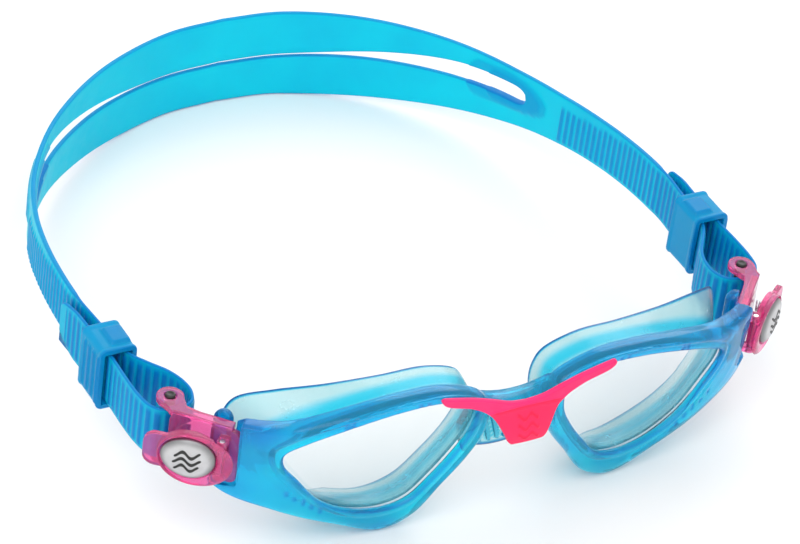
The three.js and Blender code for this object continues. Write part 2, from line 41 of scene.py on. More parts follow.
MM = 0.001
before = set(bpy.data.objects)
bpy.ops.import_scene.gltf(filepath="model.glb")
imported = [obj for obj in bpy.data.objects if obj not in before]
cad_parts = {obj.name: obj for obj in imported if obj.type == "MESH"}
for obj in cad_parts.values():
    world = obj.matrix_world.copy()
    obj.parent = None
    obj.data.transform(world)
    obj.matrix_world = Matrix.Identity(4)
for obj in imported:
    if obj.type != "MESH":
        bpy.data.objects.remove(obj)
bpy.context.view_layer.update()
roller_low, roller_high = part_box("strap_roller_left")
ORIGIN_Y = (roller_low.y + roller_high.y) / 2 / MM

# Clearance between pieces.
GAP = 0.3

# The curved front: where it is at the nose, how it wraps back to the temples and how it leans.
NOSE_Y = -26.5
WRAP_NEAR = 0.0008
WRAP_FAR = 7e-11
LEAN = 0.08
LEAN_MID_Z = 20

# Depths behind the front, widths and wall thicknesses round the eyes.
FRAME_DEPTH = 5
LIP_DEPTH = 1.9
REBATE = 1.8
LENS_OVERLAP = 1.5
LENS_THICKNESS = 1.6
LENS_FRONT = LIP_DEPTH + GAP
SKIRT_FRONT = LENS_FRONT + LENS_THICKNESS + GAP + 0.1
SKIRT_WALL = 1.2
SKIRT_NECK = 6.6
SKIRT_LIP = 12.4
SKIRT_TEMPLE_EXTRA = 1.8

# Nose bar, knuckles and sunk marks of the frame.
BAR_TOP_Z = 32.2
BAR_HEIGHT = 4.6
BAR_HALF = 9.2
KNUCKLE_X = 66
KNUCKLE_Y = -10.4
KNUCKLE_LOW_Z = 24
KNUCKLE_HIGH_Z = 31.8
KNUCKLE_RADIUS = 2.3
MARK_DEPTH = 0.1
MARK_RADIUS = 0.34
FRAME_VOXEL = 0.3

# Nose web of the skirt. Each rib is listed as x at its top and x at its low end.
WEB_HALF = 11.3
WEB_FRONT = FRAME_DEPTH + 0.9
WEB_THICKNESS = 1.8
WEB_TOP_Z = 27
WEB_LOW_Z = 14.2
WEB_ARCH = 3
RIB_TOP_Z = 26.6
RIB_LOW_Z = 17
RIB_ENDS_X = ((8.4, 5.6), (6.3, 3.1), (4.2, 0.9))

# Bridge cover.
COVER_THICKNESS = 1.3
COVER_REACH = 2.9
COVER_TIP = 22.2
COVER_EDGE = 0.25
COVER_WAVES_Z = (25.2, 27.4, 29.6)

# Strap. Starts and ends are distances along it from the middle of its back. Each pad is listed as
# start, length and half height. The ribs of the ladder stand up from the strap. From its end on,
# the strap is thinner between the ribs instead.
STRAP_HALF_THICKNESS = 0.65
STRAP_BACK_HEIGHT = 24.7
STRAP_TOP_Z = 30.8
STRAP_BOTTOM_Z = 17.6
STRAP_SWAY = 8
RIB_PITCH = 2.1
SPLIT_END = 88
SPLIT_MID_Z = 11.7
PADS = ((67.5, 27.5, 5.3), (73.5, 19.5, 4.4))
PAD_STEP = 0.3
LADDER_START = 100
LADDER_END = 142

# Buckle and lever. Fronts and places along are measured in their own axes.
BUCKLE_X = 67.8
BUCKLE_Y = -13.5
BUCKLE_ANGLE = math.radians(46)
BUCKLE_LOW_Z = 18.2
BUCKLE_HIGH_Z = 31.1
PLATE_THICKNESS = 1.6
PLATE_FRONT = -4.2
PLATE_LOW_Z = 17.6
ARM_FRONT = -2.2
ARM_WIDTH = 2.6
LOW_ARM_FRONT = 3.8
LEVER_ANGLE = math.radians(-8)
HINGE_ALONG = -1
HINGE_OUT = 2.3
LEVER_MID_Z = 25.2
LEVER_TOP = 1
BADGE_ALONG = 6.9
BADGE_LENGTH = 12.4
BADGE_HEIGHT = 10.4
BADGE_RISE = 1.95
COLLAR_ALONG = 5.3
COLLAR_MID_Z = 24.8
COLLAR_HALF_LENGTH = 8.5
COLLAR_HALF_HEIGHT = 6.9
LUG_ROOMS_Z = (19.5, 28.6)
LUG_ROOM_HEIGHT = 2.6
LUG_ROOM_HALF = 1.6
SPRING_ALONG = 9.6
BUCKLE_VOXEL = 0.14

# Keeper.
KEEPER_INNER_X = 74.2
KEEPER_OUTER_X = 81
KEEPER_FRONT_Y = 18.8
KEEPER_LENGTH = 10.2
KEEPER_WALL = 1
KEEPER_RIDGE_PITCH = 2.4
KEEPER_RIDGES_END = 8.2
KEEPER_POINTS = 160

SIDES = {"left": 1, "right": -1}


# ---------------- numbers and curves

def smoothstep(value, low, high):
    """0 below low, 1 above high and a smooth curve between them."""
    t = np.clip((np.asarray(value, float) - low) / (high - low), 0, 1)
    return t * t * (3 - 2 * t)


def front_y(x, z):
    """The curved front that the frame, the lenses and the cover follow."""
    return NOSE_Y + WRAP_NEAR * x ** 2 + WRAP_FAR * x ** 6 - LEAN * (z - LEAN_MID_Z)


def on_front(x, z, depth):
    """Points at a depth behind the front."""
    return np.stack([x, front_y(x, z) + depth, z], axis=-1)


def line_on_front(start, end, depth, count):
    """Points along the front, between two places given as x and z."""
    return on_front(*np.linspace(start, end, count).T, depth)


def catmull_rom(points, closed, per_segment):
    """Centripetal Catmull-Rom curve through the points."""
    p = np.array(points, float)
    count = len(p) if closed else len(p) - 1
    w = (np.arange(per_segment) / per_segment)[:, None]
    rows = []
    for i in range(count):
        x1, x2 = p[i], p[(i + 1) % len(p)]
        x0 = p[i - 1] if closed or i > 0 else 2 * x1 - x2
        x3 = p[(i + 2) % len(p)] if closed or i + 2 < len(p) else 2 * x2 - x1
        d0, d1, d2 = (math.sqrt(np.linalg.norm(b - a)) for a, b in ((x0, x1), (x1, x2), (x2, x3)))
        t1 = ((x1 - x0) / d0 - (x2 - x0) / (d0 + d1) + (x2 - x1) / d1) * d1
        t2 = ((x2 - x1) / d1 - (x3 - x1) / (d1 + d2) + (x3 - x2) / d2) * d1
        rows.append(x1 + t1 * w + (3 * (x2 - x1) - 2 * t1 - t2) * w ** 2
                    + (2 * (x1 - x2) + t1 + t2) * w ** 3)
    curve = np.concatenate(rows)
    return curve if closed else np.vstack([curve, p[-1]])


def lengths_along(line):
    """Distance along the line to each of its points."""
    return np.concatenate([[0], np.cumsum(np.linalg.norm(np.diff(line, axis=0), axis=1))])


def quarter_round(distance, radius):
    """Height from 0 to 1 of a rounded edge, at a distance in from it."""
    return np.sqrt(np.clip(1 - (1 - np.clip(distance / radius, 0, 1)) ** 2, 0, 1))


def edge_fractions(count, share):
    """Places from 0 to 1 that crowd towards both ends."""
    ends = np.array([0, 0.1, 0.3, 0.6, 1]) * share
    return np.concatenate([ends, np.linspace(share, 1 - share, count)[1:-1], 1 - ends[::-1]])


def rounded(rows, times):
    """Cuts the corners of each row, a closed loop of points, that many times."""
    rows = np.asarray(rows, float)
    for _ in range(times):
        after = np.roll(rows, -1, axis=1)
        pair = np.stack([0.75 * rows + 0.25 * after, 0.25 * rows + 0.75 * after], axis=2)
        rows = pair.reshape(len(rows), -1, rows.shape[2])
    return rows


# ---------------- meshes

def linked(made):
    """Puts an object in the scene."""
    bpy.context.scene.collection.objects.link(made)
    return made


def turn_out(mesh, weld=False):
    """Turns the faces out, once the points that lie on each other are joined if weld is set."""
    work = bmesh.new()
    work.from_mesh(mesh)
    if weld:
        bmesh.ops.remove_doubles(work, verts=work.verts, dist=1e-6)
    bmesh.ops.recalc_face_normals(work, faces=work.faces)
    work.to_mesh(mesh)
    work.free()


def to_object(name, points, faces):
    """A closed mesh facing out, from points in millimetres."""
    mesh = bpy.data.meshes.new(name)
    metres = (np.asarray(points, float) + (0, ORIGIN_Y, 0)) * MM
    mesh.from_pydata(metres.tolist(), [], faces)
    turn_out(mesh)
    return linked(bpy.data.objects.new(name, mesh))


def divided(rows, longest):
    """Adds points to each row, a closed loop, so that no side is longer than that."""
    after = np.roll(rows, -1, axis=1)
    counts = np.ceil(np.linalg.norm(after - rows, axis=2).max(axis=0) / longest).astype(int)
    columns = [rows[:, j] + (after[:, j] - rows[:, j]) * step / count
               for j, count in enumerate(counts) for step in range(count)]
    return np.stack(columns, axis=1)


def loft(name, rows, ring=False):
    """Skin over rows of points, each a closed loop. A ring joins the last row to the first."""
    rows = np.asarray(rows, float)
    count, per_row = rows.shape[:2]
    faces = []
    for i in range(count if ring else count - 1):
        a, b = i * per_row, (i + 1) % count * per_row
        faces += [(a + j, a + (j + 1) % per_row, b + (j + 1) % per_row, b + j) for j in range(per_row)]
    if not ring:
        faces += [tuple(range(per_row)), tuple(range((count - 1) * per_row, count * per_row))]
    return to_object(name, rows.reshape(-1, 3), faces)


def flipped_x(made):
    """A mirrored copy for the other side of the head."""
    copy = made.copy()
    copy.data = made.data.copy()
    copy.data.transform(Matrix.Diagonal((-1, 1, 1, 1)))
    copy.data.flip_normals()
    return linked(copy)


def block(x0, x1, y0, y1, z0, z1, place=Matrix()):
    """A box, set in place by a matrix that is in millimetres."""
    corners = [place @ Vector((x, y, z)) for x in (x0, x1) for y in (y0, y1) for z in (z0, z1)]
    faces = [(0, 1, 3, 2), (4, 6, 7, 5), (0, 4, 5, 1), (2, 3, 7, 6), (0, 2, 6, 4), (1, 5, 7, 3)]
    return to_object("tool", corners, faces)


def capsule(start, end, radius, sides):
    """Round bar with domed ends."""
    a, b = Vector(start), Vector(end)
    turn = (b - a).to_track_quat("Z", "Y").to_matrix()
    length = (b - a).length
    rows = []
    for centre, low, high in ((0, -90, 0), (length, 0, 90)):
        for degrees in np.linspace(low, high, 6):
            angle = math.radians(min(88, max(-88, degrees)))
            r, h = radius * math.cos(angle), centre + radius * math.sin(angle)
            rows.append([a + turn @ Vector((r * math.cos(t), r * math.sin(t), h))
                         for t in np.linspace(0, 2 * math.pi, sides, endpoint=False)])
    return loft("tool", rows)


def apply_modifiers(made):
    """Turns the modifiers of an object into mesh."""
    bpy.context.view_layer.update()
    evaluated = made.evaluated_get(bpy.context.evaluated_depsgraph_get())
    mesh = bpy.data.meshes.new_from_object(evaluated)
    mesh.materials.clear()
    made.modifiers.clear()
    made.data = mesh


def moulded(parts, cutters, voxel, softness):
    """Joins the parts, takes the cutters away and softens the edges as a mould would.

    With a voxel size in millimetres the whole surface is meshed again, which rounds the edges more.
    """
    body = parts[0]
    steps = [(part, "UNION") for part in parts[1:]] + [(cutter, "DIFFERENCE") for cutter in cutters]
    for tool, operation in steps:
        boolean = body.modifiers.new("boolean", "BOOLEAN")
        boolean.object = tool
        boolean.operation = operation
        boolean.solver = "MANIFOLD"
    if voxel:
        remesh = body.modifiers.new("remesh", "REMESH")
        remesh.mode = "VOXEL"
        remesh.voxel_size = voxel * MM
    smooth = body.modifiers.new("smooth", "SMOOTH")
    smooth.factor = 0.5
    smooth.iterations = softness
    apply_modifiers(body)
    for tool, _ in steps:
        bpy.data.objects.remove(tool)
    return body


def copy_of(node):
    """A free copy of a CAD node's mesh."""
    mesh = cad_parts[node].data.copy()
    mesh.materials.clear()
    turn_out(mesh, weld=True)
    return linked(bpy.data.objects.new(node + "_fine", mesh))


def placed(points, matrix):
    """The points moved by a matrix that is in millimetres."""
    turn = np.array(matrix)
    return np.asarray(points) @ turn[:3, :3].T + turn[:3, 3]


def points_of(made):
    """The mesh's points in millimetres."""
    flat = np.empty(len(made.data.vertices) * 3)
    made.data.vertices.foreach_get("co", flat)
    return flat.reshape(-1, 3) / MM - (0, ORIGIN_Y, 0)


def half_points_of(made):
    """The mesh's points in millimetres, all moved to the wearer's left side."""
    points = points_of(made)
    points[:, 0] = np.abs(points[:, 0])
    return points


def distance_to(points, line):
    """Distance from each point to the nearest of the line's points."""
    nearest = np.full(len(points), 1e9)
    for place in line:
        nearest = np.minimum(nearest, ((points - place) ** 2).sum(axis=1))
    return np.sqrt(nearest)


def set_tint(made, values):
    """Stores how deep the colour is at each point, from 0 to 1, painted shade included."""
    attribute = made.data.attributes.new("tint_and_painted_shade", "FLOAT", "POINT")
    attribute.data.foreach_set("value", np.clip(values, 0, 1).ravel().astype(np.float32))


def dress(made, name, body, material, node, sharp=None):
    """Gives a piece its name, body and finish, and hides the CAD node that it stands for."""
    made.name = name
    made.data.name = name
    made.data.materials.append(material)
    made.data.shade_smooth()
    if sharp:
        made.data.set_sharp_from_angle(angle=math.radians(sharp))
    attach(made, body)
    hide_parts(node)


# ---------------- materials

# The colour sockets of a Mix node share their names with others, so they are found by number.
MIX_FIRST = 6
MIX_SECOND = 7
MIX_RESULT = 2


def new_material(name, **sockets):
    material = bpy.data.materials.new(name)
    material.use_nodes = True
    shader = material.node_tree.nodes["Principled BSDF"]
    for socket, value in sockets.items():
        shader.inputs[socket.replace("_", " ")].default_value = value
    return material, material.node_tree, shader


def link(tree, out, socket):
    tree.links.new(out, socket)


def noise_of(tree, scale, detail=3, stretch=(1, 1, 1)):
    place = tree.nodes.new("ShaderNodeTexCoord")
    mapping = tree.nodes.new("ShaderNodeMapping")
    mapping.inputs["Scale"].default_value = stretch
    noise = tree.nodes.new("ShaderNodeTexNoise")
    noise.inputs["Scale"].default_value = scale
    noise.inputs["Detail"].default_value = detail
    link(tree, place.outputs["Object"], mapping.inputs["Vector"])
    link(tree, mapping.outputs["Vector"], noise.inputs["Vector"])
    return noise.outputs["Fac"]


def spread(tree, value, low, high, start=0.3, end=0.7):
    """Maps start..end, by default most of a noise's range, to low..high."""
    ranged = tree.nodes.new("ShaderNodeMapRange")
    ranged.inputs["From Min"].default_value = start
    ranged.inputs["From Max"].default_value = end
    ranged.inputs["To Min"].default_value = low
    ranged.inputs["To Max"].default_value = high
    link(tree, value, ranged.inputs["Value"])
    return ranged.outputs["Result"]


def mixed(tree, factor, first, second):
    mix = tree.nodes.new("ShaderNodeMix")
    mix.data_type = "RGBA"
    link(tree, factor, mix.inputs["Factor"])
    for value, socket in ((first, mix.inputs[MIX_FIRST]), (second, mix.inputs[MIX_SECOND])):
        if isinstance(value, tuple):
            socket.default_value = (*value, 1)
        else:
            link(tree, value, socket)
    return mix.outputs[MIX_RESULT]


def bumped(tree, shader, height, distance_mm):
    bump = tree.nodes.new("ShaderNodeBump")
    bump.inputs["Distance"].default_value = distance_mm * MM
    link(tree, height, bump.inputs["Height"])
    link(tree, bump.outputs["Normal"], shader.inputs["Normal"])


def absorbing(tree, colour, per_mm):
    """Colours the light by how far it goes through the piece."""
    volume = tree.nodes.new("ShaderNodeVolumeAbsorption")
    volume.inputs["Color"].default_value = (*colour, 1)
    volume.inputs["Density"].default_value = per_mm / MM
    link(tree, volume.outputs["Volume"], tree.nodes["Material Output"].inputs["Volume"])


def tint_of(tree):
    """How deep the colour is at each point of the mesh, from 0 to 1, painted shade included."""
    tint_and_painted_shade = tree.nodes.new("ShaderNodeAttribute")
    tint_and_painted_shade.attribute_name = "tint_and_painted_shade"
    return tint_and_painted_shade.outputs["Fac"]


def tinted(tree, body, deep, edge):
    """Body colour where the tint is 0, deep at a half and edge at 1. On the frame, the skirt and the
    cover, deep and edge serve partly as painted shade.
    """
    deepened = mixed(tree, spread(tree, tint_of(tree), 0, 1, 0, 0.5), body, deep)
    return mixed(tree, spread(tree, tint_of(tree), 0, 1, 0.5, 1), deepened, edge)


def clear_plastic(name, pale, streak, deep, edge, clearness, colour, per_mm, roughness, ripple_mm):
    """See-through moulding with faint flow streaks, whose colour deepens with thickness. Where the mesh
    has a tint attribute, the deep and edge colours are mixed in, partly as painted shade along edges,
    ribs and sunk marks.
    """
    material, tree, shader = new_material(
        name, Transmission_Weight=clearness, IOR=1.4, Specular_IOR_Level=0.25)
    flow = noise_of(tree, 95, 4, (1, 1, 1.8))
    body = mixed(tree, spread(tree, flow, 0, 1), pale, streak)
    link(tree, tinted(tree, body, deep, edge), shader.inputs["Base Color"])
    link(tree, spread(tree, noise_of(tree, 240), *roughness), shader.inputs["Roughness"])
    bumped(tree, shader, noise_of(tree, 130, 2), ripple_mm)
    absorbing(tree, colour, per_mm)
    return material


def silicone(name, thin, thick_and_painted_shade, transmission, roughness):
    """Milky silicone. The mesh's tint attribute says where it is deep in colour: on thick parts, and as
    painted shade along edges and inside the keeper sleeve.
    """
    material, tree, shader = new_material(
        name, IOR=1.41, Transmission_Weight=transmission, Subsurface_Weight=0.25,
        Subsurface_Radius=(0.0005, 0.0015, 0.002), Subsurface_Scale=1.0, Specular_IOR_Level=0.12)
    depth = mixed(tree, tint_of(tree), thin, thick_and_painted_shade)
    cloud = spread(tree, noise_of(tree, 45, 4), 0, 0.22)
    link(tree, mixed(tree, cloud, depth, thick_and_painted_shade), shader.inputs["Base Color"])
    link(tree, spread(tree, noise_of(tree, 300), *roughness), shader.inputs["Roughness"])
    bumped(tree, shader, noise_of(tree, 900, 2), 0.02)
    return material


# The last two colours of each of these are the deep and edge colours. On the frame and the skirt they
# serve partly as painted shade along edges, ribs and sunk marks.
frame_plastic = clear_plastic(
    "frame_plastic", (0.0, 0.86, 0.97), (0.0, 0.60, 0.93), (0.0, 0.42, 0.86), (0.0, 0.20, 0.60),
    0.78, (0.02, 0.85, 0.96), 0.15, (0.03, 0.09), 0.06)
skirt_silicone = clear_plastic(
    "skirt_silicone", (0.62, 0.82, 0.84), (0.52, 0.80, 0.82), (0.02, 0.64, 0.84), (0.0, 0.14, 0.45),
    0.84, (0.3, 0.84, 0.9), 0.09, (0.16, 0.28), 0.08)
buckle_plastic = clear_plastic(
    "buckle_plastic", (1.0, 0.30, 0.60), (0.98, 0.16, 0.46), (0.80, 0.04, 0.42), (0.55, 0.01, 0.20),
    0.8, (0.98, 0.35, 0.70), 0.16, (0.06, 0.15), 0.04)
# The second colour of each is for thick parts and for the painted shade along edges.
strap_silicone = silicone("strap_silicone", (0.0, 0.68, 0.83), (0.0, 0.24, 0.62), 0.2, (0.36, 0.5))
keeper_silicone = silicone("keeper_silicone", (0.0, 0.42, 0.74), (0.0, 0.20, 0.58), 0.3, (0.3, 0.45))


def lens_material():
    material, tree, shader = new_material("lens_polycarbonate", Transmission_Weight=1.0, IOR=1.5)
    haze = noise_of(tree, 35, 2)
    colour = mixed(tree, spread(tree, haze, 0, 1), (0.91, 0.94, 0.94), (0.88, 0.915, 0.92))
    link(tree, colour, shader.inputs["Base Color"])
    link(tree, spread(tree, noise_of(tree, 400), 0.0, 0.025), shader.inputs["Roughness"])
    return material


def cover_material():
    material, tree, shader = new_material(
        "cover_pink", IOR=1.46, Subsurface_Weight=0.12, Subsurface_Radius=(0.002, 0.0005, 0.0007),
        Subsurface_Scale=1.0, Specular_IOR_Level=0.25)
    shade = spread(tree, noise_of(tree, 110, 4), 0, 1)
    body = mixed(tree, shade, (1.0, 0.032, 0.19), (0.97, 0.022, 0.15))
    # The deeper pinks colour the lower part and the raised waves, and are painted shade along the
    # crease.
    link(tree, tinted(tree, body, (1.0, 0.024, 0.10), (0.72, 0.004, 0.05)), shader.inputs["Base Color"])
    link(tree, spread(tree, noise_of(tree, 350), 0.36, 0.5), shader.inputs["Roughness"])
    bumped(tree, shader, noise_of(tree, 2200, 3), 0.012)
    return material


def metal_material(name, light, dark, roughness, brush):
    """Metal finish, with painted shade darkening it where the mesh's tint attribute is high."""
    material, tree, shader = new_material(name, Metallic=0.9)
    grain = noise_of(tree, 500, 4, brush)
    body = mixed(tree, spread(tree, grain, 0, 1), light, dark)
    # The near black is a painted shade colour.
    link(tree, mixed(tree, tint_of(tree), body, (0.13, 0.13, 0.135)), shader.inputs["Base Color"])
    link(tree, spread(tree, noise_of(tree, 260), *roughness), shader.inputs["Roughness"])
    bumped(tree, shader, grain, 0.006)
    return material


def black_material(name, roughness):
    material, tree, shader = new_material(name, IOR=1.5)
    wear = spread(tree, noise_of(tree, 420, 4), 0, 1)
    colour = mixed(tree, wear, (0.006, 0.007, 0.006), (0.02, 0.021, 0.02))
    link(tree, colour, shader.inputs["Base Color"])
    link(tree, spread(tree, noise_of(tree, 600), *roughness), shader.inputs["Roughness"])
    return material


lens_clear = lens_material()
cover_pink = cover_material()
badge_silver = metal_material(
    "badge_silver", (0.60, 0.60, 0.61), (0.52, 0.52, 0.53), (0.32, 0.44), (1, 1, 1))
steel = metal_material("steel", (0.72, 0.73, 0.75), (0.5, 0.51, 0.53), (0.2, 0.35), (1, 1, 6))
roller_black = black_material("roller_black", (0.25, 0.45))
ink_black = black_material("ink_black", (0.4, 0.55))


# ---------------- eye outlines

# The wearer's left eye from the front, as x and z. The right one is its mirror image. The three
# outlines have the same number of points, which lie opposite each other.
OPENING = [
    [12.3, 33.2], [20, 36], [30, 35.9], [41, 33.8], [51.5, 30.3], [56, 27.4], [55.8, 24.2],
    [52, 19.2], [46, 12.2], [38.5, 8.2], [30, 6.9], [24.3, 8.5], [20, 13.3], [15.8, 19],
    [12.5, 25], [11.6, 30],
]
FRAME_EDGE = [
    [9.5, 34.8], [19.5, 38.9], [30.5, 39.1], [42, 37.4], [55, 34.8], [69, 34.2], [70.8, 26],
    [69.3, 16.8], [57, 10.6], [42.4, 4.2], [30, -0.4], [22.3, 2.4], [16.2, 10.2], [11, 17.3],
    [7.8, 24], [7.6, 31],
]
SKIRT_EDGE = [
    [11, 35], [19, 37.8], [30, 37.6], [42, 37.2], [54, 36.4], [61.5, 33.8], [63.6, 28],
    [61, 19], [53, 10.5], [41, 5.2], [30, 3], [22, 5.8], [16.5, 11.8], [11.8, 18.5],
    [9.2, 25], [9, 31],
]
PER_SEGMENT = 12
opening = catmull_rom(OPENING, True, PER_SEGMENT)
frame_edge = catmull_rom(FRAME_EDGE, True, PER_SEGMENT)
skirt_edge = catmull_rom(SKIRT_EDGE, True, PER_SEGMENT)
frame_width = np.linalg.norm(frame_edge - opening, axis=1)
outwards = (frame_edge - opening) / frame_width[:, None]


def eye_points(out, depth):
    """Points round the eye at a distance out from the lens opening and a depth behind the front."""
    place = opening + outwards * np.broadcast_to(out, len(opening))[:, None]
    return on_front(place[:, 0], place[:, 1], depth)


# ---------------- frame

def frame_eye():
    """One eye rim. Its section is listed as distance out from the opening and depth."""
    w = frame_width
    profile = [
        (0, 0.8), (0.5, 0.1), (1.5, 0.05), (2, 0.35), (2.5, 0.35), (2.9, 0.0), (w * 0.6, -0.05),
        (w - 0.8, 0.4), (w, 1.6), (w, FRAME_DEPTH - 0.9), (w - 0.5, FRAME_DEPTH), (REBATE, FRAME_DEPTH),
        (REBATE, LIP_DEPTH), (0, LIP_DEPTH),
    ]
    rows = np.stack([eye_points(out, depth) for out, depth in profile], axis=1)
    return loft("frame_eye", rounded(rows, 1), ring=True)


def nose_bar():
    """The bar over the nose, lowest in its middle. Its section is listed as height and depth."""
    x = np.linspace(-BAR_HALF, BAR_HALF, 49)
    top = BAR_TOP_Z + 1.8 * (x / BAR_HALF) ** 2
    low = top - BAR_HEIGHT
    corners = [(low, 1.4), (low + 0.8, 0.3), (top - 1, 0.3), (top, 1.4), (top, FRAME_DEPTH),
               (top - 0.8, FRAME_DEPTH + 1), (low + 0.8, FRAME_DEPTH + 0.2), (low, FRAME_DEPTH - 0.8)]
    rows = np.stack([on_front(x, z, depth) for z, depth in corners], axis=1)
    return loft("nose_bar", rounded(rows, 1))


def buckle_seats():
    """The room that a buckle needs in the end of the frame, with a gap round it."""
    far = 24
    rooms = [
        (PLATE_FRONT, PLATE_THICKNESS, PLATE_LOW_Z - GAP, 40),
        (ARM_FRONT, ARM_WIDTH, BUCKLE_HIGH_Z - GAP, 40),
        (LOW_ARM_FRONT, ARM_WIDTH, 5, BUCKLE_LOW_Z + GAP),
    ]
    place = buckle_places(1)[0]
    return [block(front - GAP, far, -far, width + GAP, low, high, place)
            for front, width, low, high in rooms]


def moulded_marks():
    """Ends, as x and z, of the small sunk strokes in the front of one eye rim."""
    clips = [((24.0, 36.3), (24.6, 37.5)), ((26.0, 36.3), (26.6, 37.5))]
    hook = [((42.0, 34.2), (42.2, 35.6)), ((43.6, 33.9), (43.8, 35.3)), ((42.2, 34.8), (43.7, 34.6))]
    dashes = []
    for step, height in enumerate((0.9, 0.5, 0.9, 0.4, 0.8)):
        x = 46.2 + 2.1 * step
        z = 9.6 + 1.5 * step
        dashes.append(((x, z), (x + 0.5 - height / 2, z + height)))
    return clips + hook + dashes


def on_front_capsule(start, end, depth, radius):
    """Round bar along the front, between two places given as x and z."""
    ends = [on_front(np.array(x), np.array(z), depth) for x, z in (start, end)]
    return capsule(*ends, radius, 10)


def make_frame():
    eye = frame_eye()
    knuckle = capsule((KNUCKLE_X, KNUCKLE_Y, KNUCKLE_LOW_Z), (KNUCKLE_X, KNUCKLE_Y, KNUCKLE_HIGH_Z),
                      KNUCKLE_RADIUS, 24)
    parts = [eye, flipped_x(eye), knuckle, flipped_x(knuckle), nose_bar()]
    under_table = block(-90, 90, -45, 15, -10, 0)
    marks = moulded_marks()
    tools = buckle_seats()
    tools += [on_front_capsule(start, end, MARK_DEPTH, MARK_RADIUS) for start, end in marks]
    made = moulded(parts, [*tools, *[flipped_x(tool) for tool in tools], under_table], FRAME_VOXEL, 3)
    points = half_points_of(made)
    painted_shade_outline = np.concatenate([eye_points(frame_width, FRAME_DEPTH), eye_points(0.3, 0.3)])
    shaded_mark_lines = np.concatenate([line_on_front(start, end, MARK_DEPTH, 3) for start, end in marks])
    # Colour depth: deeper towards the temple ends and the top. Painted shade gives dark outlines along
    # the back edge and round the lens opening, and darkens the sunk marks.
    depth = 0.35 * smoothstep(points[:, 0], 52, 68) + 0.3 * smoothstep(points[:, 2], 27, 36)
    depth += 0.5 * smoothstep(0.8 - distance_to(points, painted_shade_outline), 0, 0.6)
    depth += 0.6 * smoothstep(0.8 - distance_to(points, shaded_mark_lines), 0, 0.5)
    set_tint(made, depth)
    dress(made, "frame", "goggles", frame_plastic, "front_frame")


# ---------------- skirt

lip_x, lip_z = skirt_edge.T
lip_depth = SKIRT_LIP + SKIRT_TEMPLE_EXTRA * (lip_x / 60) ** 2


def skirt_eye():
    """One eye cup, from its neck behind the lens out to the flared lip and back inside."""
    neck = opening + outwards * LENS_OVERLAP
    middle = (skirt_edge + neck) / 2
    inward = opening + outwards * 0.9 - skirt_edge
    inward *= SKIRT_WALL * 0.7 / np.linalg.norm(inward, axis=1)[:, None]
    inner = LENS_OVERLAP - SKIRT_WALL
    rows = np.stack([
        eye_points(LENS_OVERLAP, SKIRT_FRONT),
        eye_points(LENS_OVERLAP, SKIRT_NECK),
        on_front(middle[:, 0], middle[:, 1], (SKIRT_NECK + lip_depth) / 2 - 0.5),
        on_front(lip_x, lip_z, lip_depth),
        on_front(lip_x + inward[:, 0] * 0.6, lip_z + inward[:, 1] * 0.6, lip_depth + 0.5),
        on_front(lip_x + inward[:, 0], lip_z + inward[:, 1], lip_depth + 0.2),
        eye_points(inner, SKIRT_NECK + 1),
        eye_points(inner, SKIRT_FRONT),
    ], axis=1)
    return loft("skirt_eye", divided(rounded(rows, 2), 0.4), ring=True)


def nose_web():
    """The sheet that joins the two cups over the nose."""
    back = WEB_FRONT + WEB_THICKNESS
    x = np.linspace(-WEB_HALF, WEB_HALF, 49)
    arch = (x / WEB_HALF) ** 2
    low = WEB_LOW_Z + WEB_ARCH * arch
    top = WEB_TOP_Z + 2 * arch
    corners = ((low, WEB_FRONT), (top, WEB_FRONT), (top, back), (low, back))
    rows = np.stack([on_front(x, z, depth) for z, depth in corners], axis=1)
    return loft("nose_web", divided(rounded(rows, 1), 0.4))


def web_ribs():
    ribs = []
    for top_x, low_x in RIB_ENDS_X:
        rib = on_front_capsule((top_x, RIB_TOP_Z), (low_x, RIB_LOW_Z), WEB_FRONT - 0.2, 0.6)
        ribs += [rib, flipped_x(rib)]
    return ribs


def make_skirt():
    cup = skirt_eye()
    made = moulded([cup, flipped_x(cup), nose_web(), *web_ribs()], [], None, 1)
    points = half_points_of(made)
    lip = on_front(lip_x, lip_z, lip_depth + 0.3)
    hem_x = np.linspace(0, 10, 30)
    hem_z = WEB_LOW_Z + 0.1 + WEB_ARCH * (hem_x / WEB_HALF) ** 2
    hem = on_front(hem_x, hem_z, WEB_FRONT + WEB_THICKNESS / 2)
    neck = eye_points(LENS_OVERLAP, SKIRT_NECK + 1)
    # Painted shade: dark outlines along the lip and the hem of the nose web.
    depth = smoothstep(1.15 - distance_to(points, np.concatenate([lip, hem])), 0, 0.5)
    depth += 0.5 * smoothstep(3.4 - distance_to(points, neck), 0, 2.6)
    # Painted shade along the flanks and feet of the nose ribs.
    for top_x, low_x in RIB_ENDS_X:
        line = line_on_front((top_x, RIB_TOP_Z), (low_x, RIB_LOW_Z), WEB_FRONT, 40)
        away = distance_to(points, line)
        depth += 0.7 * smoothstep(away, 0.3, 0.7) * smoothstep(1.1 - away, 0, 0.3)
    set_tint(made, depth)
    dress(made, "skirt", "goggles", skirt_silicone, "face_skirt")


# ---------------- lenses

def make_lens(label, side):
    scales = (1.0, 0.995, 0.96, 0.8, 0.6, 0.4, 0.2, 0.05)
    inset = (0.25, 0.08, 0, 0, 0, 0, 0, 0)
    centre = np.array([32, 23])
    edge = opening + outwards * LENS_OVERLAP

    def loop(scale, depth):
        place = (edge - centre) * scale + centre
        return on_front(place[:, 0], place[:, 1], depth)

    front = [loop(s, LENS_FRONT + i) for s, i in zip(scales, inset)]
    back = [loop(s, LENS_FRONT + LENS_THICKNESS - i) for s, i in zip(scales, inset)]
    made = loft("lens", np.array(front[::-1] + back) * (side, 1, 1))
    dress(made, f"lens_{label}_clear", "goggles", lens_clear, f"lens_{label}", 50)


# ---------------- bridge cover

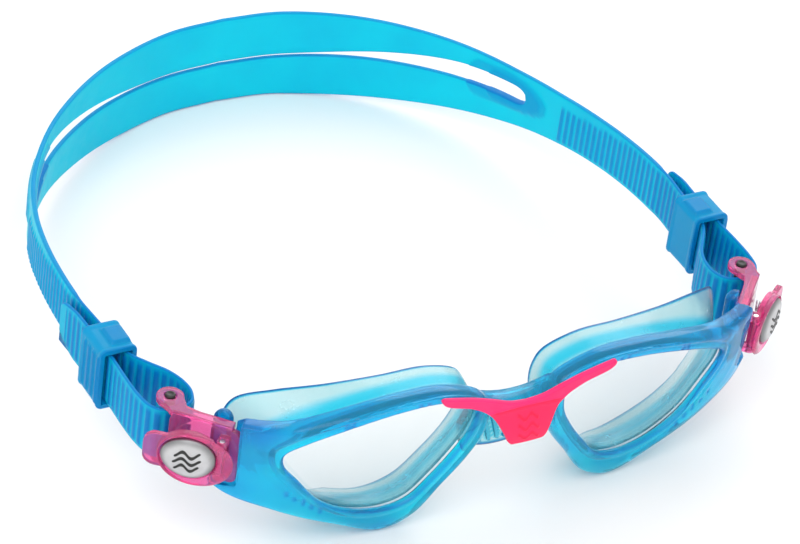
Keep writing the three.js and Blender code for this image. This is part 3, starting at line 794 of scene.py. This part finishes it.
COVER_UPPER = [[0, 33.2], [4, 33.7], [9, 35.6], [14, 37.3], [20.3, 38.8], [21.7, 39.0], [22.2, 38.7]]
COVER_LOWER = [[0, 22.95], [2.6, 23.05], [4.1, 23.3], [5.8, 26.2], [7.8, 29.6], [10.5, 32.2],
               [14.4, 34.5], [20.2, 36.4], [21.6, 37.3], [22.2, 38.3]]


def cover_grid():
    """Places over the cover: x, z, share of its height there and distance in from its edge."""
    straight = 20
    turn = np.linspace(0, math.pi / 2, 15)[1:]
    half = np.linspace(0, straight, 101)
    half = np.concatenate([half, straight + (COVER_TIP - straight) * np.sin(turn)])
    x = np.concatenate([-half[:0:-1], half])[:, None]
    upper = catmull_rom(COVER_UPPER, False, 40)
    lower = catmull_rom(COVER_LOWER, False, 40)
    top = np.interp(np.abs(x), upper[:, 0], upper[:, 1])
    low = np.interp(np.abs(x), lower[:, 0], lower[:, 1])
    share = edge_fractions(56, 0.06)
    z = low + (top - low) * share
    from_edge = np.minimum(np.minimum(share, 1 - share) * (top - low), COVER_TIP + 0.05 - np.abs(x))
    return np.broadcast_to(x, z.shape), z, share, from_edge


def wave_motif(x, z):
    """1 on three short waves in the middle of the cover and 0 elsewhere."""
    motif = np.zeros_like(z)
    for middle_z in COVER_WAVES_Z:
        wave = middle_z + 0.55 * np.sin(x * 1.9)
        motif += smoothstep(0.5 - np.abs(z - wave), 0, 0.25) * smoothstep(2.9 - np.abs(x), 0, 0.5)
    return motif


def make_cover():
    x, z, share, from_edge = cover_grid()
    soft = quarter_round(from_edge, 0.4)
    motif = wave_motif(x, z)
    stand_off = GAP + 0.1 + COVER_REACH * smoothstep(33 - z, 0, 9)
    crown = 0.35 * np.clip(1 - (x / 9) ** 2, 0, 1) * np.sin(np.pi * share)
    below_arm = 31.9 - 0.004 * x ** 2 - z
    crease = smoothstep(0.5 - np.abs(below_arm), 0, 0.5) * smoothstep(9.5 - np.abs(x), 0, 2)
    sunk = 0.3 * crease + 0.2 * smoothstep(below_arm, 0, 1)
    proud = (COVER_THICKNESS - COVER_EDGE) * soft + crown + 0.25 * motif
    outer = on_front(x, z, sunk - stand_off - COVER_EDGE - proud)
    inner = on_front(x, z, -stand_off - COVER_EDGE * (1 - soft))
    made = loft("cover", np.concatenate([outer, inner[:, ::-1]], axis=1))
    # Colour depth: deeper below the arm line and on the raised waves, with painted shade along the
    # crease.
    colour = 0.4 * smoothstep(below_arm, -0.3, 0.3) + 0.25 * crease + 0.35 * motif
    set_tint(made, np.concatenate([colour, colour[:, ::-1]], axis=1))
    dress(made, "cover", "goggles", cover_pink, "bridge_cover")


# ---------------- strap

# Half of the strap seen from above, as x and y: from the middle of the back, along the wearer's left
# side, round the roller and back on the outside to the loose end.
STRAP_ROUTE = [
    [0, 141.8], [15, 140.4], [30, 134.8], [42.6, 126.8], [56.4, 113.2], [67, 96], [72.6, 80],
    [75.5, 66], [77.1, 52], [77.5, 40], [76.9, 32], [76.2, 24], [75.1, 18.5], [72.3, 14],
    [69.7, 10.3], [68.1, 6.2], [67.8, 2.4], [69.1, -0.9], [71.6, -2.3], [74.2, -2.4],
    [76.9, -1.6], [78.6, 0.7], [79.3, 4.2], [79.5, 10], [79.3, 18], [79.5, 26], [79.9, 34],
    [80.4, 43],
]
route = catmull_rom(STRAP_ROUTE, False, 60)
route_s = lengths_along(route)
STRAP_HALF_LENGTH = route_s[-1]


def route_at(s):
    """Place and direction along half of the strap, seen from above."""
    place = np.stack([np.interp(s, route_s, route[:, k]) for k in (0, 1)], axis=-1)
    step = 0.4
    ahead, behind = np.minimum(s + step, STRAP_HALF_LENGTH), np.maximum(s - step, 0)
    way = np.stack([np.interp(ahead, route_s, route[:, k]) - np.interp(behind, route_s, route[:, k])
                    for k in (0, 1)], axis=-1)
    return place, way / np.linalg.norm(way, axis=-1, keepdims=True)


def strap_stations():
    """Distances along the strap from the middle of its back, closer together where it has detail."""
    parts = [np.arange(0, 66, 1.4), np.arange(66, SPLIT_END - 3, 0.6)]
    parts.append(SPLIT_END - 3 * np.cos(np.linspace(0, math.pi / 2, 14)))
    parts.append(np.arange(SPLIT_END + 0.5, LADDER_START, 0.6))
    ribs = int((STRAP_HALF_LENGTH - LADDER_START - 1.5) / RIB_PITCH)
    rib = np.array([0.02, 0.2, 0.4, 0.9, 1.3, 1.5, 1.7])
    parts += [LADDER_START + i * RIB_PITCH + rib for i in range(ribs)]
    last = STRAP_HALF_LENGTH - (LADDER_START + ribs * RIB_PITCH)
    parts.append(STRAP_HALF_LENGTH - last * np.cos(np.linspace(0.2, math.pi / 2, 12)))
    half = np.unique(np.round(np.concatenate(parts), 4))
    return np.concatenate([-half[:0:-1], half])


def strap_edges(s):
    """Heights of the bottom, the split's middle and the top, and half the width of the split."""
    a = np.abs(s)
    taper = smoothstep(a, STRAP_HALF_LENGTH - 8, STRAP_HALF_LENGTH)
    corner = np.sqrt(np.clip(1 - ((a - STRAP_HALF_LENGTH + 2.4) / 2.4).clip(0, 1) ** 2, 0, 1))
    top = STRAP_BACK_HEIGHT - 1.2 * taper + (STRAP_TOP_Z - STRAP_BACK_HEIGHT) * smoothstep(a, 80, 148)
    bottom = STRAP_BOTTOM_Z * smoothstep(a, 20, 148) + 2.2 * taper
    top -= 2.2 * (1 - corner)
    bottom += 2.2 * (1 - corner)
    middle = SPLIT_MID_Z + 6.7 * smoothstep(a, 10, SPLIT_END)
    along = np.clip((a - SPLIT_END + 5) / 5, 0, 1)
    widest = 0.35 + 2 * smoothstep(a, 20, 72)
    opened = np.where(a < SPLIT_END, widest * np.sqrt(np.clip(1 - along ** 2.6, 0, 1)), 0)
    return bottom, middle, opened, top


def pad_mask(a, height, start, length, half_height):
    """Where the thickened pad round the end of the split is."""
    along = np.clip((a - start - length * 0.45) / (length * 0.56), 0, 1)
    reach = half_height * np.sqrt(1 - along ** 2) * smoothstep(a, start - 1.5, start + 4)
    return smoothstep(reach - height, -0.15, 0.3) * (a > start - 1) * (a < start + length)


def band_heights(low, high):
    """Heights across one band, closer together at its two edges."""
    ends = np.array([0, 0.06, 0.2, 0.45])[:, None]
    inside = np.linspace(0, 1, 11)[:, None]
    inner = low + ends[-1] + (high - low - 2 * ends[-1]) * inside
    return np.concatenate([low + ends[:-1], inner, high - ends[:-1][::-1]]).T


def strap_relief(a, z, edges):
    """How far the outer and the inner face are from the middle of the strap, and the tint, which is
    deeper on the pads and the ribs and towards the loose end, and holds painted shade as dark outlines
    along the edges and the split.
    """
    bottom, middle, opened, top = edges
    outer_edge = np.minimum(z - bottom, top - z)
    from_split = np.abs(z - middle) - opened + 4 * (1 - np.clip(opened * 4, 0, 1))
    split_edge = np.where(opened > 0, from_split, 9)
    edge = np.minimum(outer_edge, split_edge)
    soft = 0.3 + 0.7 * quarter_round(np.minimum(edge, STRAP_HALF_LENGTH - a), 0.45)

    pads = [pad_mask(a, np.abs(z - middle), *pad) for pad in PADS]
    phase = (a - LADDER_START) % RIB_PITCH
    rib = smoothstep(phase, 0.02, 0.4) * smoothstep(1.7 - phase, 0, 0.4) * (a > LADDER_START)
    inset = 2.2 * smoothstep(-a, -135, -LADDER_START)
    bar = smoothstep(np.minimum(z - bottom, top - z - inset), 0.7, 1.2)
    rib = rib * (a < STRAP_HALF_LENGTH - 3) * bar
    folded = smoothstep(a, LADDER_END - 3, LADDER_END + 1)

    flat = STRAP_HALF_THICKNESS + PAD_STEP * (pads[0] + pads[1])
    outer = flat + rib * 0.45 * (1 - folded) - folded * 0.32 * (1 - rib)
    inner = flat + rib * 0.22 * (1 - folded) - folded * 0.22 * (1 - rib)
    tint_and_painted_shade = 0.4 * pads[0] + 0.22 * pads[1] + rib * (0.8 - 0.15 * folded) + 0.2 * folded
    # Painted shade: dark outlines along the edges and the split.
    tint_and_painted_shade = tint_and_painted_shade + 0.75 * smoothstep(0.5 - edge, 0, 0.4) + 0.15 * smoothstep(a, LADDER_START, 150)
    return outer * soft, inner * soft, tint_and_painted_shade


def strap_quads(s, columns):
    """Faces over the strap. Each station has its outer points and then its inner ones."""
    half = columns // 2
    outer = np.arange(len(s))[:, None] * 2 * columns + np.arange(columns)
    inner = outer + columns
    everywhere = np.ones(len(s) - 1, bool)
    in_split = np.maximum(np.abs(s[:-1]), np.abs(s[1:])) <= SPLIT_END
    strips = []
    for k in range(columns - 1):
        if k != half - 1:
            strips.append((outer[:, k], outer[:, k + 1], everywhere))
            strips.append((inner[:, k + 1], inner[:, k], everywhere))
    strips.append((inner[:, 0], outer[:, 0], everywhere))
    strips.append((outer[:, -1], inner[:, -1], everywhere))
    strips.append((outer[:, half - 1], inner[:, half - 1], in_split))
    strips.append((inner[:, half], outer[:, half], in_split))
    quads = []
    for first, second, chosen in strips:
        corners = np.stack([first[:-1], first[1:], second[1:], second[:-1]], axis=-1)
        quads += corners[chosen].tolist()
    for row in (0, len(s) - 1):
        for low, high in ((0, half - 1), (half, columns - 1)):
            quads += [[outer[row, k], outer[row, k + 1], inner[row, k + 1], inner[row, k]]
                      for k in range(low, high)]
    return quads


def make_strap():
    s = strap_stations()
    bottom, middle, opened, top = strap_edges(s)
    bands = [band_heights(bottom, middle - opened), band_heights(middle + opened, top)]
    z = np.concatenate(bands, axis=1)
    edges = [value[:, None] for value in (bottom, middle, opened, top)]
    outer, inner, tint_and_painted_shade = strap_relief(np.abs(s)[:, None], z, edges)
    place, way = route_at(np.abs(s))
    side = np.where(s < 0, -1, 1)[:, None]

    def surface(out):
        x = side * (place[:, :1] - way[:, 1:] * out)
        y = place[:, 1:] + way[:, :1] * out
        x = x + STRAP_SWAY * (np.clip(y - 40, 0, None) / 100) ** 1.5
        return np.stack([x, y, z], axis=-1)

    points = np.concatenate([surface(outer), surface(-inner)], axis=1).reshape(-1, 3)
    made = to_object("strap", points, strap_quads(s, z.shape[1]))
    set_tint(made, np.concatenate([tint_and_painted_shade, tint_and_painted_shade], axis=1))
    turn_out(made.data, weld=True)
    dress(made, "strap", "goggles", strap_silicone, "head_strap")


# ---------------- keepers

def rounded_ring(half_x, half_z, radius, count):
    """Points round a rectangle with rounded corners, centred on the origin."""
    points = []
    per_corner = count // 4
    for k, (sx, sz) in enumerate(((1, 1), (-1, 1), (-1, -1), (1, -1))):
        for t in np.linspace(0, math.pi / 2, per_corner):
            angle = t + k * math.pi / 2
            points.append((sx * (half_x - radius) + radius * math.cos(angle),
                           sz * (half_z - radius) + radius * math.sin(angle)))
    looped = np.array([*points, points[0]])
    length = lengths_along(looped)
    at = np.linspace(0, length[-1], count, endpoint=False)
    return np.stack([np.interp(at, length, looped[:, k]) for k in (0, 1)], axis=1)


def keeper_shell(half_x, half_z):
    """The outer face with its grip and ridges, from end to end, and its tint: deeper on the ridges and
    the grip, with painted shade at both ends.
    """
    shell = rounded_ring(half_x + KEEPER_WALL, half_z + KEEPER_WALL, 1.5, KEEPER_POINTS)
    out = shell / np.linalg.norm(shell, axis=1, keepdims=True)
    along = edge_fractions(60, 0.04) * KEEPER_LENGTH
    from_end = np.minimum(along, KEEPER_LENGTH - along)
    soft = 0.35 * (1 - quarter_round(from_end, 0.4))
    swell = 0.25 * smoothstep(1.6 - from_end, 0, 1)
    on_outer = smoothstep(shell[:, 0], half_x + 0.4, half_x + 0.9)
    on_outer *= smoothstep(half_z - np.abs(shell[:, 1]), 0.4, 1.2)
    on_top = smoothstep(shell[:, 1], half_z + 0.5, half_z + 0.9) * smoothstep(1.4 - shell[:, 0], 0, 0.8)
    turns = (along - 0.4) / KEEPER_RIDGE_PITCH
    ridge = smoothstep(np.sin(2 * math.pi * turns), -0.2, 0.6) * (along < KEEPER_RIDGES_END)
    hump = smoothstep(along, 1.6, 2.6) * smoothstep(KEEPER_LENGTH - along, 1.6, 3)
    ridges = ridge[:, None] * on_outer
    grip = hump[:, None] * on_top
    ring = shell + out * (swell - soft)[:, None, None]
    y = np.broadcast_to(along[:, None], grip.shape)
    rows = np.stack([ring[..., 0] + 0.45 * ridges, y, ring[..., 1] + 0.8 * grip], axis=-1)
    # Painted shade: dark rims at both ends of the sleeve.
    base_and_end_shade = np.where(from_end < 0.5, 0.6, 0.15)[:, None]
    return rows, 0.5 * ridges + 0.35 * grip + base_and_end_shade


def make_keeper(label, side):
    middle_x = (KEEPER_INNER_X + KEEPER_OUTER_X) / 2
    middle_z = (STRAP_BOTTOM_Z + STRAP_TOP_Z) / 2
    half_x = (KEEPER_OUTER_X - KEEPER_INNER_X) / 2
    half_z = (STRAP_TOP_Z - STRAP_BOTTOM_Z) / 2 + 0.4
    rows, tint_and_painted_shade = keeper_shell(half_x, half_z)
    hole_x, hole_z = rounded_ring(half_x, half_z, 0.4, KEEPER_POINTS).T
    inner = [np.stack([hole_x, np.full(KEEPER_POINTS, y), hole_z], axis=-1)
             for y in np.linspace(KEEPER_LENGTH, 0, 12)]
    points = np.concatenate([rows, inner]) + (middle_x, KEEPER_FRONT_Y, middle_z)
    made = loft("keeper", points * (side, 1, 1), ring=True)
    # Painted shade on the inner face of the sleeve.
    set_tint(made, np.concatenate([tint_and_painted_shade, np.full((len(inner), KEEPER_POINTS), 0.3)]))
    keeper = f"keeper_{label}"
    dress(made, f"{keeper}_sleeve", keeper, keeper_silicone, keeper, 55)


# ---------------- buckles

def placing(x, y, angle):
    """A move to x and y, after a turn about the upright axis."""
    return Matrix.Translation((x, y, 0)) @ Matrix.Rotation(angle, 4, "Z")


def buckle_places(side):
    """Where a buckle and its lever are. Both have X along them and -Y away from the head."""
    buckle = placing(side * BUCKLE_X, BUCKLE_Y, side * BUCKLE_ANGLE)
    return buckle, buckle @ placing(side * HINGE_ALONG, -HINGE_OUT, side * LEVER_ANGLE)


def badge_surface(side, u, v):
    """Point of the badge's dome, for u and v inside the unit circle."""
    r2 = np.clip(u ** 2 + v ** 2, 0, 1)
    height = 0.5 + (BADGE_RISE - 0.5) * np.sqrt(1 - r2 ** 1.35)
    x = side * (BADGE_ALONG + u * BADGE_LENGTH / 2 * (1 + 0.05 * v))
    z = LEVER_MID_Z + v * BADGE_HEIGHT / 2 * (1 - 0.06 * u)
    return np.stack([x, -LEVER_TOP - GAP - height, z], axis=-1)


def make_badge_waves(label, side, lever):
    """Three thin black waves inlaid in the dome."""
    t = np.linspace(-1, 1, 61)
    half = 0.085 * np.sqrt(1 - t ** 8 * 0.97)
    proud = np.array((0, 0.05, 0))
    for k, middle in enumerate((-0.34, 0, 0.34)):
        line = middle + 0.13 * np.sin(t * 1.5 * math.pi)
        along = t * (0.52 - 0.16 * abs(middle))
        low = badge_surface(side, along, line - half)
        high = badge_surface(side, along, line + half)
        rows = np.stack([low - proud, high - proud, high + proud, low + proud], axis=1)
        wave = loft(f"badge_{label}_wave_{k + 1}", placed(rows, lever))
        wave.data.materials.append(ink_black)
        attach(wave, f"lever_{label}")


def make_badge(label, side, lever):
    """A silver dome on the lever, with painted shade darkening its rim."""
    angle = np.linspace(0, 2 * math.pi, 128, endpoint=False)
    radius = np.sin(np.linspace(0.02, 1, 40) * math.pi / 2)
    rows = [badge_surface(side, r * np.cos(angle), r * np.sin(angle)) for r in radius]
    foot = rows[-1].copy()
    foot[:, 1] = -LEVER_TOP - GAP
    made = loft("badge", placed(np.array(rows + [foot]), lever))
    # Painted shade: darker towards the rim of the dome and at its foot.
    set_tint(made, np.repeat(np.append(0.75 * smoothstep(radius, 0.7, 1), 0.9), len(angle)))
    dress(made, f"badge_{label}_dome", f"lever_{label}", badge_silver,
          f"lever_badge_{label}", 60)
    make_badge_waves(label, side, lever)


def lever_ring(side, lever):
    """Dished collar round the badge, wider on the side of the frame."""
    t = np.linspace(0, 2 * math.pi, 96, endpoint=False)
    inner = np.stack([BADGE_ALONG + (BADGE_LENGTH / 2 + 0.35) * np.cos(t),
                      LEVER_MID_Z + (BADGE_HEIGHT / 2 + 0.35) * np.sin(t)], axis=-1)
    outer = np.stack([COLLAR_ALONG + COLLAR_HALF_LENGTH * np.cos(t),
                      COLLAR_MID_Z + COLLAR_HALF_HEIGHT * np.sin(t)], axis=-1)
    corners = []
    for share, out in ((0, 0.8), (0, 1.8), (0.2, 2.05), (0.7, 2.2), (1, 1.8), (1, 1.1), (0.8, 0.8)):
        place = inner + (outer - inner) * share
        corners.append(np.stack([side * place[:, 0], np.full(len(t), -out), place[:, 1]], axis=-1))
    return loft("ring", rounded(placed(np.stack(corners, axis=1), lever), 1), ring=True)


def make_roller(label):
    """A rod that fills the CAD roller's box, with rounded ends and a shallow cup in its top."""
    low, high = (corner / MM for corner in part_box(f"strap_roller_{label}"))
    radius = (high.x - low.x) / 2
    x, y = (low.x + high.x) / 2, (low.y + high.y) / 2 - ORIGIN_Y
    angle = np.linspace(0, 2 * math.pi, 64, endpoint=False)
    profile = [
        (0.3, low.z), (0.8, low.z), (0.95, low.z + 0.08), (1, low.z + 0.3), (1, high.z - 0.35),
        (0.93, high.z - 0.12), (0.8, high.z - 0.02), (0.55, high.z), (0.45, high.z - 0.1),
        (0.1, high.z - 0.1),
    ]
    rows = []
    for share, z in profile:
        r = radius * share
        place = [x + r * np.cos(angle), y + r * np.sin(angle), np.full_like(angle, z)]
        rows.append(np.stack(place, axis=-1))
    dress(loft("roller", rows), f"roller_{label}_rod", f"roller_{label}", roller_black,
          f"strap_roller_{label}", 50)


def make_spring(label, side, buckle):
    """A fine coil from the buckle's plate out to the lever."""
    turns, radius, wire = 2.75, 1.25, 0.2
    start, length = 0.2 + GAP + wire, 2
    u = np.linspace(0, 1, 160)
    angle = turns * 2 * math.pi * u
    centre = np.stack([side * (SPRING_ALONG + radius * np.cos(angle)), -start - length * u,
                       LEVER_MID_Z + radius * np.sin(angle)], axis=-1)
    way = np.gradient(centre, axis=0)
    way /= np.linalg.norm(way, axis=1, keepdims=True)
    away = centre - (side * SPRING_ALONG, 0, LEVER_MID_Z)
    away[:, 1] = 0
    away /= np.linalg.norm(away, axis=1, keepdims=True)
    other = np.cross(way, away)
    t = np.linspace(0, 2 * math.pi, 14, endpoint=False)[None, :, None]
    rows = centre[:, None] + wire * (np.cos(t) * away[:, None] + np.sin(t) * other[:, None])
    made = loft("spring", placed(rows, buckle))
    dress(made, f"spring_{label}_coil", "goggles", steel, f"lever_spring_{label}")
    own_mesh(made)


def make_pin(label):
    """The lever's pin keeps its CAD solid, with a small bevel and a steel finish."""
    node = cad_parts[f"lever_pin_{label}"]
    node.data.materials.clear()
    node.data.materials.append(steel)
    bevel = node.modifiers.new("bevel", "BEVEL")
    bevel.width = 0.0001
    bevel.segments = 2
    bevel.angle_limit = math.radians(50)


def make_buckle(label, side):
    buckle, lever = buckle_places(side)
    body = moulded([copy_of(f"buckle_body_{label}")], [], BUCKLE_VOXEL, 4)
    dress(body, f"buckle_{label}_body", "goggles", buckle_plastic, f"buckle_body_{label}")
    rooms = [block(-LUG_ROOM_HALF, LUG_ROOM_HALF, -LUG_ROOM_HALF, LUG_ROOM_HALF, z, z + LUG_ROOM_HEIGHT,
                   lever) for z in LUG_ROOMS_Z]
    parts = [copy_of(f"release_lever_{label}"), lever_ring(side, lever)]
    arm = moulded(parts, rooms, BUCKLE_VOXEL, 3)
    dress(arm, f"lever_{label}_arm", f"lever_{label}", buckle_plastic,
          f"release_lever_{label}")
    make_badge(label, side, lever)
    make_roller(label)
    make_spring(label, side, buckle)
    make_pin(label)


# ---------------- camera, light and floor

# The camera was fitted to the photograph. Lengths are in millimetres.
CAMERA_DISTANCE = 960.6
CAMERA_AZIMUTH = math.radians(32.68)
CAMERA_DOWN = math.radians(36.2)
CAMERA_ROLL = math.radians(8.29)
CAMERA_AIM = Vector((10.9, -39.8))
CAMERA_LENS = 187.02
CAMERA_DROP = 1.6


def make_camera():
    ahead = Vector((math.sin(CAMERA_AZIMUTH) * math.cos(CAMERA_DOWN),
                    math.cos(CAMERA_AZIMUTH) * math.cos(CAMERA_DOWN), -math.sin(CAMERA_DOWN)))
    level = Vector((math.cos(CAMERA_AZIMUTH), -math.sin(CAMERA_AZIMUTH), 0))
    raised = level.cross(ahead)
    right = math.cos(CAMERA_ROLL) * level + math.sin(CAMERA_ROLL) * raised
    up = right.cross(ahead)
    place = -CAMERA_DISTANCE * ahead - CAMERA_AIM.x * right - CAMERA_AIM.y * up
    place += Vector((0, ORIGIN_Y, -CAMERA_DROP))
    data = bpy.data.cameras.new("camera")
    data.sensor_width = 36
    data.lens = CAMERA_LENS
    data.clip_end = 20
    camera = bpy.data.objects.new("camera", data)
    camera.matrix_world = Matrix.Translation(place * MM) @ Matrix(
        ((right.x, up.x, -ahead.x), (right.y, up.y, -ahead.y), (right.z, up.z, -ahead.z))).to_4x4()
    linked(camera)
    bpy.context.scene.camera = camera


def make_light(name, place, size, watts):
    """A round soft light that shines at the goggles. Its place and size are in metres."""
    data = bpy.data.lights.new(name, "AREA")
    data.shape = "DISK"
    data.size = size
    data.energy = watts
    lamp = bpy.data.objects.new(name, data)
    lamp.location = place
    lamp.rotation_mode = "QUATERNION"
    lamp.rotation_quaternion = (Vector((0, 0, 0.02)) - Vector(place)).to_track_quat("-Z", "Y")
    linked(lamp)


def make_studio():
    world = bpy.data.worlds.new("studio")
    world.use_nodes = True
    sky = world.node_tree.nodes["Background"]
    sky.inputs["Color"].default_value = (1, 1, 1, 1)
    sky.inputs["Strength"].default_value = 1.0
    bpy.context.scene.world = world
    make_light("key", (-0.5, -0.5, 0.9), 0.9, 4)
    make_light("rim", (0.6, 0.7, 0.7), 0.8, 3)
    bpy.context.scene.view_settings.view_transform = "Standard"


def make_floor():
    """A pale floor just under the goggles."""
    material, tree, shader = new_material("floor_white", Roughness=0.9)
    grain = spread(tree, noise_of(tree, 6, 2), 0, 1)
    link(tree, mixed(tree, grain, (0.93, 0.93, 0.93), (0.92, 0.92, 0.92)), shader.inputs["Base Color"])
    reach, height = 6, -0.0002
    corners = [(x * reach, y * reach, height) for x, y in ((-1, -1), (1, -1), (1, 1), (-1, 1))]
    mesh = bpy.data.meshes.new("floor")
    mesh.from_pydata(corners, [], [(0, 1, 2, 3)])
    mesh.materials.append(material)
    linked(bpy.data.objects.new("floor", mesh))


make_camera()
make_studio()
make_floor()
make_frame()
make_skirt()
make_cover()
make_strap()
for label, side in SIDES.items():
    make_lens(label, side)
    make_keeper(label, side)
    make_buckle(label, side)
